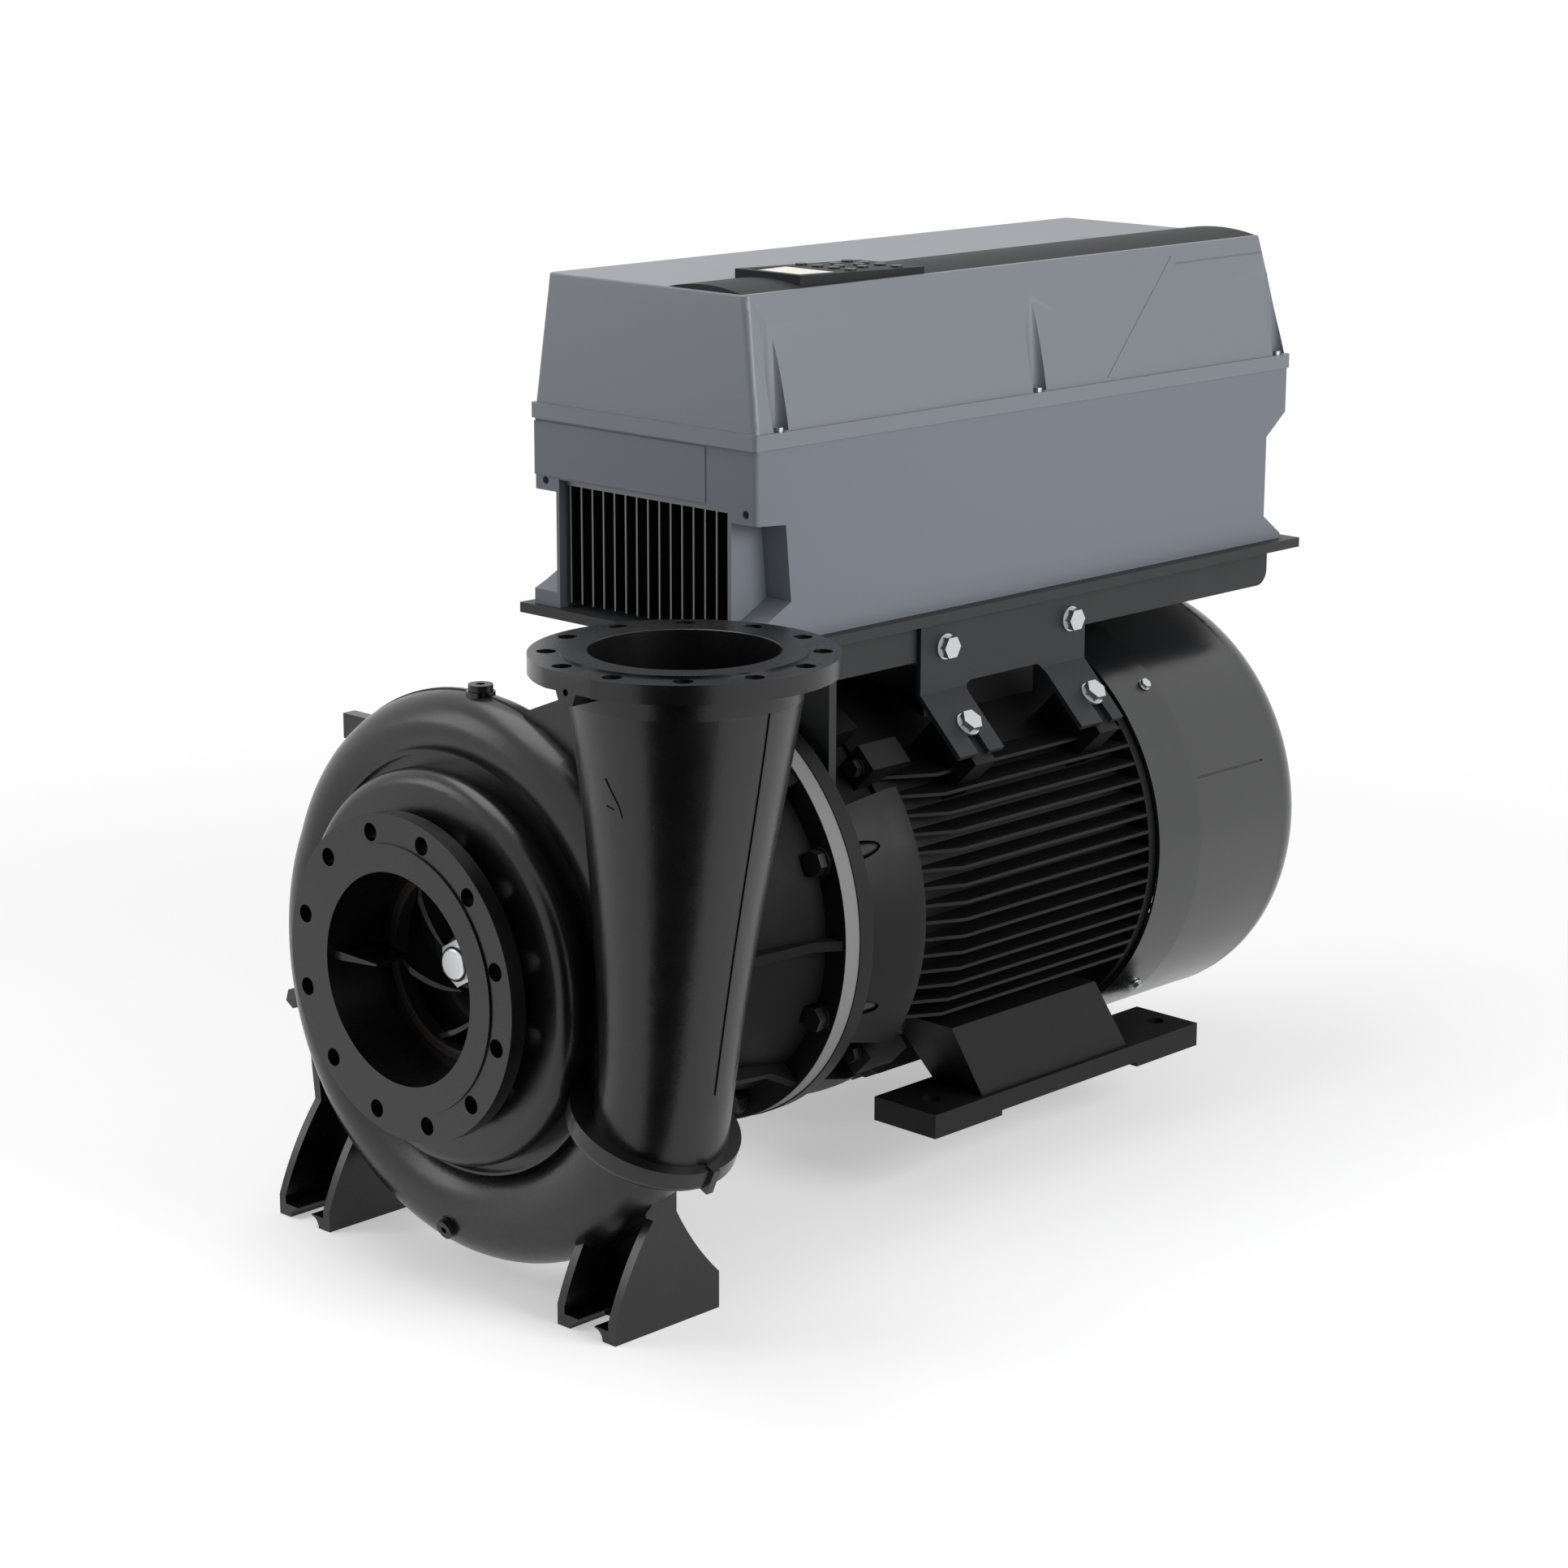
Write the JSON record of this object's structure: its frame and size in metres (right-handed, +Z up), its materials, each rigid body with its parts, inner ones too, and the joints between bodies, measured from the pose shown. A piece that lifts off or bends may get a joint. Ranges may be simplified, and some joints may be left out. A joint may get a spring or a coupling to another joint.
{
  "type": "close-coupled centrifugal pump",
  "caption": "End-suction volute pump on a flanged foot-mounted motor, with a speed drive carried above the motor; it moves water between two flanged pipes.",
  "frame": {"origin": "centre of the suction flange's raised face, on the shaft's axis", "axes": "+Y along the shaft from the suction flange to the fan end, +Z up along the discharge, +X right as seen from the suction side"},
  "size_m": [1.0304, 1.7393, 1.374],
  "materials": {
    "cast_iron_black": "black satin enamel over a fine sand-cast surface",
    "cast_iron_impeller": "as-cast grey iron with a thin dark coat",
    "bronze": "turned bronze",
    "shaft_steel": "ground and turned steel",
    "stainless_nut": "turned stainless steel",
    "seal_ceramic": "lapped ceramic",
    "seal_carbon": "lapped carbon in a steel holder",
    "zinc_steel": "zinc-plated steel",
    "black_steel": "steel painted with the body",
    "motor_paint": "black semi-gloss enamel on cast iron",
    "cowl_paint": "dark textured powder coat on pressed steel",
    "lamination_steel": "stacked electrical steel sheets",
    "copper_winding": "varnished copper wire",
    "fan_plastic": "moulded black polyamide",
    "plate_paint": "dark textured powder coat on folded steel",
    "drive_grey": "grey powder coat on cast aluminium",
    "cover_grey": "moulded grey plastic, fine spark texture",
    "sink_aluminium": "black anodised extruded aluminium",
    "band_plastic": "dark grey moulded plastic",
    "display_cream": "lit cream liquid crystal window",
    "key_plastic": "moulded dark keys",
    "board_laminate": "green solder mask on glass-epoxy board",
    "capacitor_aluminium": "drawn aluminium cans"
  },
  "bodies": {
    "pump_and_motor": {"volute_casing": "cast_iron_black", "casing_cover": "cast_iron_black", "motor_stool": "cast_iron_black", "wear_ring": "bronze", "drive_end_bearing_outer": "shaft_steel", "fan_end_bearing_outer": "shaft_steel", "seal_seat": "seal_ceramic", "bracket_bolts": "zinc_steel", "cowl_screws": "zinc_steel", "cover_screws": "zinc_steel", "casing_bolts": "black_steel", "flange_bolts": "black_steel", "ear_bolts": "black_steel", "casing_plugs": "black_steel", "drive_end_shield": "motor_paint", "stator_frame": "motor_paint", "fan_end_shield": "motor_paint", "motor_foot_right": "motor_paint", "motor_foot_left": "motor_paint", "fan_cowl": "cowl_paint", "stator_core": "lamination_steel", "stator_windings": "copper_winding", "drive_fan_frame": "fan_plastic", "drive_base_plate": "plate_paint", "front_support_plate": "plate_paint", "bracket_right": "plate_paint", "bracket_left": "plate_paint", "drive_housing": "drive_grey", "front_blanking_panel": "drive_grey", "drive_cover": "cover_grey", "heat_sink": "sink_aluminium", "cover_band": "band_plastic", "keypad_panel": "band_plastic", "keypad_display": "display_cream", "circuit_board": "board_laminate", "capacitor_bank": "capacitor_aluminium"},
    "rotor": {"impeller": "cast_iron_impeller", "impeller_nut": "stainless_nut", "impeller_key": "shaft_steel", "stub_shaft": "shaft_steel", "motor_shaft": "shaft_steel", "rotor_core": "lamination_steel", "drive_end_bearing_inner": "shaft_steel", "fan_end_bearing_inner": "shaft_steel", "bearing_balls": "shaft_steel", "cooling_fan": "fan_plastic", "seal_head": "seal_carbon"},
    "drive_fan": {"drive_fan": "fan_plastic"},
    "key_01": {"key_01": "key_plastic"},
    "key_02": {"key_02": "key_plastic"},
    "key_03": {"key_03": "key_plastic"},
    "key_04": {"key_04": "key_plastic"},
    "key_05": {"key_05": "key_plastic"},
    "key_06": {"key_06": "key_plastic"},
    "key_07": {"key_07": "key_plastic"},
    "key_08": {"key_08": "key_plastic"},
    "key_09": {"key_09": "key_plastic"},
    "key_10": {"key_10": "key_plastic"},
    "key_11": {"key_11": "key_plastic"},
    "key_12": {"key_12": "key_plastic"}
  },
  "joints": [
    {"name": "rotor_spin", "type": "hinge", "parent": "pump_and_motor", "child": "rotor", "pos_m": [0, 0.6, 0], "axis": [0, 1, 0], "continuous": true},
    {"name": "drive_fan_spin", "type": "hinge", "parent": "pump_and_motor", "child": "drive_fan", "pos_m": [0, 1.593, 0.52], "axis": [0, 1, 0], "continuous": true},
    {"name": "key_01_press", "type": "slide", "parent": "pump_and_motor", "child": "key_01", "axis": [0, 0, -1], "range_m": [0, 0.001], "stiffness_N_per_m": 600, "springref_m": -0.001},
    {"name": "key_02_press", "type": "slide", "parent": "pump_and_motor", "child": "key_02", "axis": [0, 0, -1], "range_m": [0, 0.001], "stiffness_N_per_m": 600, "springref_m": -0.001},
    {"name": "key_03_press", "type": "slide", "parent": "pump_and_motor", "child": "key_03", "axis": [0, 0, -1], "range_m": [0, 0.001], "stiffness_N_per_m": 600, "springref_m": -0.001},
    {"name": "key_04_press", "type": "slide", "parent": "pump_and_motor", "child": "key_04", "axis": [0, 0, -1], "range_m": [0, 0.001], "stiffness_N_per_m": 600, "springref_m": -0.001},
    {"name": "key_05_press", "type": "slide", "parent": "pump_and_motor", "child": "key_05", "axis": [0, 0, -1], "range_m": [0, 0.001], "stiffness_N_per_m": 600, "springref_m": -0.001},
    {"name": "key_06_press", "type": "slide", "parent": "pump_and_motor", "child": "key_06", "axis": [0, 0, -1], "range_m": [0, 0.001], "stiffness_N_per_m": 600, "springref_m": -0.001},
    {"name": "key_07_press", "type": "slide", "parent": "pump_and_motor", "child": "key_07", "axis": [0, 0, -1], "range_m": [0, 0.001], "stiffness_N_per_m": 600, "springref_m": -0.001},
    {"name": "key_08_press", "type": "slide", "parent": "pump_and_motor", "child": "key_08", "axis": [0, 0, -1], "range_m": [0, 0.001], "stiffness_N_per_m": 600, "springref_m": -0.001},
    {"name": "key_09_press", "type": "slide", "parent": "pump_and_motor", "child": "key_09", "axis": [0, 0, -1], "range_m": [0, 0.001], "stiffness_N_per_m": 600, "springref_m": -0.001},
    {"name": "key_10_press", "type": "slide", "parent": "pump_and_motor", "child": "key_10", "axis": [0, 0, -1], "range_m": [0, 0.001], "stiffness_N_per_m": 600, "springref_m": -0.001},
    {"name": "key_11_press", "type": "slide", "parent": "pump_and_motor", "child": "key_11", "axis": [0, 0, -1], "range_m": [0, 0.001], "stiffness_N_per_m": 600, "springref_m": -0.001},
    {"name": "key_12_press", "type": "slide", "parent": "pump_and_motor", "child": "key_12", "axis": [0, 0, -1], "range_m": [0, 0.001], "stiffness_N_per_m": 600, "springref_m": -0.001}
  ]
}
